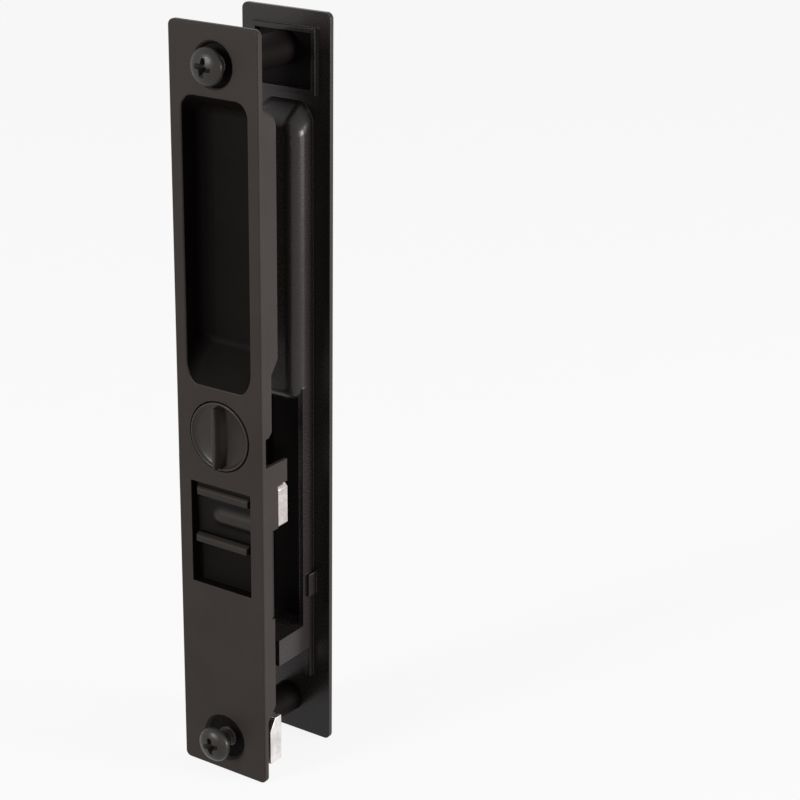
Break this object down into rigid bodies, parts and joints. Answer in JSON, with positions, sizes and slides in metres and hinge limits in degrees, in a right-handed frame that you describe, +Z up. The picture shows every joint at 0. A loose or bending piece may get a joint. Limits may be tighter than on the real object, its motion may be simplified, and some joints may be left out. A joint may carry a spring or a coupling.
{
  "type": "sliding patio door handle",
  "caption": "Flush sliding patio door handle: two long clamped plates with finger cups, a thumb turn, a latch slider and a swinging hook between them.",
  "frame": {"origin": "middle of the door stile that the plates clamp, halfway between the two clamping screws", "axes": "+X across the plates, away from the hook's beak; +Y from the room side to the garden side; +Z up"},
  "size_m": [0.0316, 0.0344, 0.1864],
  "materials": {
    "inside_finish": "satin black",
    "outside_finish": "satin black",
    "turn_finish": "satin black",
    "slider_finish": "satin black",
    "screw_black": "gloss black",
    "cover_black": "satin black",
    "zinc_plate": "zinc plated",
    "hook_zinc": "zinc plated, tumbled",
    "spring_steel": "bright spring steel"
  },
  "bodies": {
    "frame": {"inside_plate": "inside_finish", "outside_plate": "outside_finish", "top_screw": "screw_black", "bottom_screw": "screw_black", "screw_spacer": "zinc_plate", "turn_washer": "spring_steel", "detent_leaf": "spring_steel", "case_cover": "cover_black", "high_cover_screw": "zinc_plate", "right_cover_screw": "zinc_plate", "left_cover_screw": "zinc_plate", "hook_pivot": "zinc_plate", "hook_spring": "spring_steel", "hook_washer": "zinc_plate", "hook_screw": "zinc_plate"},
    "turn": {"thumb_turn": "turn_finish", "lock_cam": "zinc_plate", "cam_washer": "zinc_plate", "cam_screw": "zinc_plate"},
    "slider": {"latch_slider": "slider_finish", "slide_plate": "zinc_plate", "drive_pin": "zinc_plate"},
    "hook": {"latch_hook": "hook_zinc"}
  },
  "joints": [
    {"name": "turn_lock", "type": "hinge", "parent": "frame", "child": "turn", "pos_m": [0, -0.0105, -0.0038], "axis": [0, 1, 0], "range_deg": [0, 90]},
    {"name": "slide_latch", "type": "slide", "parent": "frame", "child": "slider", "axis": [0, 0, 1], "range_m": [-0.008, 0]},
    {"name": "swing_hook", "type": "hinge", "parent": "frame", "child": "hook", "pos_m": [0.0055, -0.0047, -0.02185], "axis": [0, 1, 0], "range_deg": [-90, 0]}
  ],
  "couplings": [
    {"joint": "swing_hook", "follows": "slide_latch", "rad_per_m": 196.35}
  ]
}
